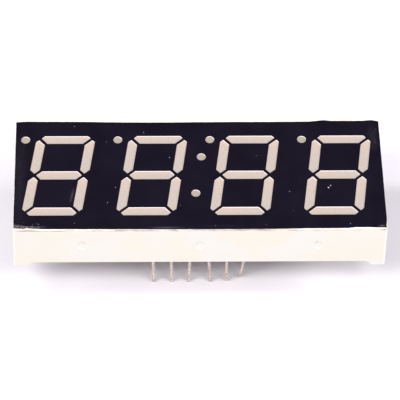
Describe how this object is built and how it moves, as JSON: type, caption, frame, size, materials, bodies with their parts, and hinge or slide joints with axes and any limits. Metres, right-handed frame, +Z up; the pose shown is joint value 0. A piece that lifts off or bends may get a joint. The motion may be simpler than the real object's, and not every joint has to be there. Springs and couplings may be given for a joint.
{
  "type": "four-digit seven-segment display",
  "caption": "Clock display module with slanted seven-segment digits, points and a colon in a flat moulded housing, on two rows of through-hole pins.",
  "frame": {"origin": "under the middle of the body, on the plane of the pin tips", "axes": "+X along the row of digits, +Y to the rear as pictured, +Z up through the face"},
  "size_m": [0.0508, 0.0196, 0.0145],
  "materials": {
    "housing": "white moulded plastic, fine satin",
    "film": "thin black printed film, satin",
    "resin": "milky cast epoxy, satin",
    "board": "glass-epoxy laminate",
    "pin": "drawn wire, dull tin plating",
    "solder": "solidified solder",
    "chip": "sawn semiconductor crystal",
    "bond_wire": "bright drawn wire"
  },
  "bodies": {
    "root": {"bond_wires_colon": "bond_wire", "bond_wires_digit_1": "bond_wire", "bond_wires_digit_2": "bond_wire", "bond_wires_digit_3": "bond_wire", "bond_wires_digit_4": "bond_wire", "circuit_board": "board", "face_film": "film", "housing": "housing", "led_colon_lower": "chip", "led_colon_upper": "chip", "led_digit_1_a": "chip", "led_digit_1_b": "chip", "led_digit_1_c": "chip", "led_digit_1_d": "chip", "led_digit_1_e": "chip", "led_digit_1_f": "chip", "led_digit_1_g": "chip", "led_digit_1_point": "chip", "led_digit_2_a": "chip", "led_digit_2_b": "chip", "led_digit_2_c": "chip", "led_digit_2_d": "chip", "led_digit_2_e": "chip", "led_digit_2_f": "chip", "led_digit_2_g": "chip", "led_digit_2_point": "chip", "led_digit_3_a": "chip", "led_digit_3_b": "chip", "led_digit_3_c": "chip", "led_digit_3_d": "chip", "led_digit_3_e": "chip", "led_digit_3_f": "chip", "led_digit_3_g": "chip", "led_digit_3_point": "chip", "led_digit_4_a": "chip", "led_digit_4_b": "chip", "led_digit_4_c": "chip", "led_digit_4_d": "chip", "led_digit_4_e": "chip", "led_digit_4_f": "chip", "led_digit_4_g": "chip", "led_digit_4_point": "chip", "pin_1": "pin", "pin_10": "pin", "pin_11": "pin", "pin_12": "pin", "pin_2": "pin", "pin_3": "pin", "pin_4": "pin", "pin_5": "pin", "pin_6": "pin", "pin_7": "pin", "pin_8": "pin", "pin_9": "pin", "resin_fill": "resin", "solder_joints": "solder"}
  },
  "joints": []
}
